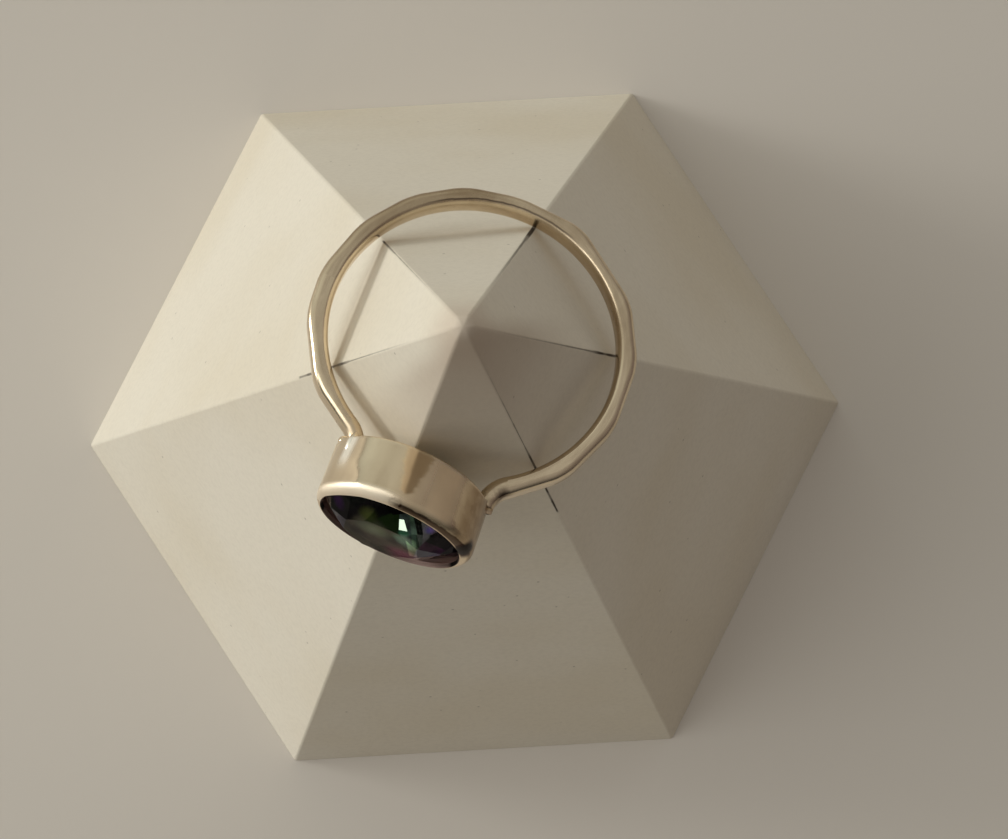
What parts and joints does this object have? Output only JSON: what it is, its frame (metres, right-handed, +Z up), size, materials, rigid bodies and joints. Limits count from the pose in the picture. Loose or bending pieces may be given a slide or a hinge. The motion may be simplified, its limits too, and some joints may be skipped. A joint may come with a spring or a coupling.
{
  "type": "topaz ring on a pyramid ring stand",
  "caption": "Slim hammered silver finger ring with a round faceted topaz in a smooth cup setting, hung tilted over the tip of a plain hexagonal pyramid ring stand.",
  "frame": {"origin": "centre of the stand's hexagonal foot, on the surface it stands on", "axes": "+Z up along the stand's axis, -Y towards the front corner of the foot and the stone, +X to the right seen from the front"},
  "size_m": [0.0494, 0.057, 0.0673],
  "materials": {
    "silver": "hammered and polished, lightly tarnished",
    "topaz": "polished facets",
    "plaster": "matte, finely grained cast plaster"
  },
  "bodies": {
    "root": {"silver_ring": "silver", "topaz": "topaz", "ring_stand": "plaster"}
  },
  "joints": []
}
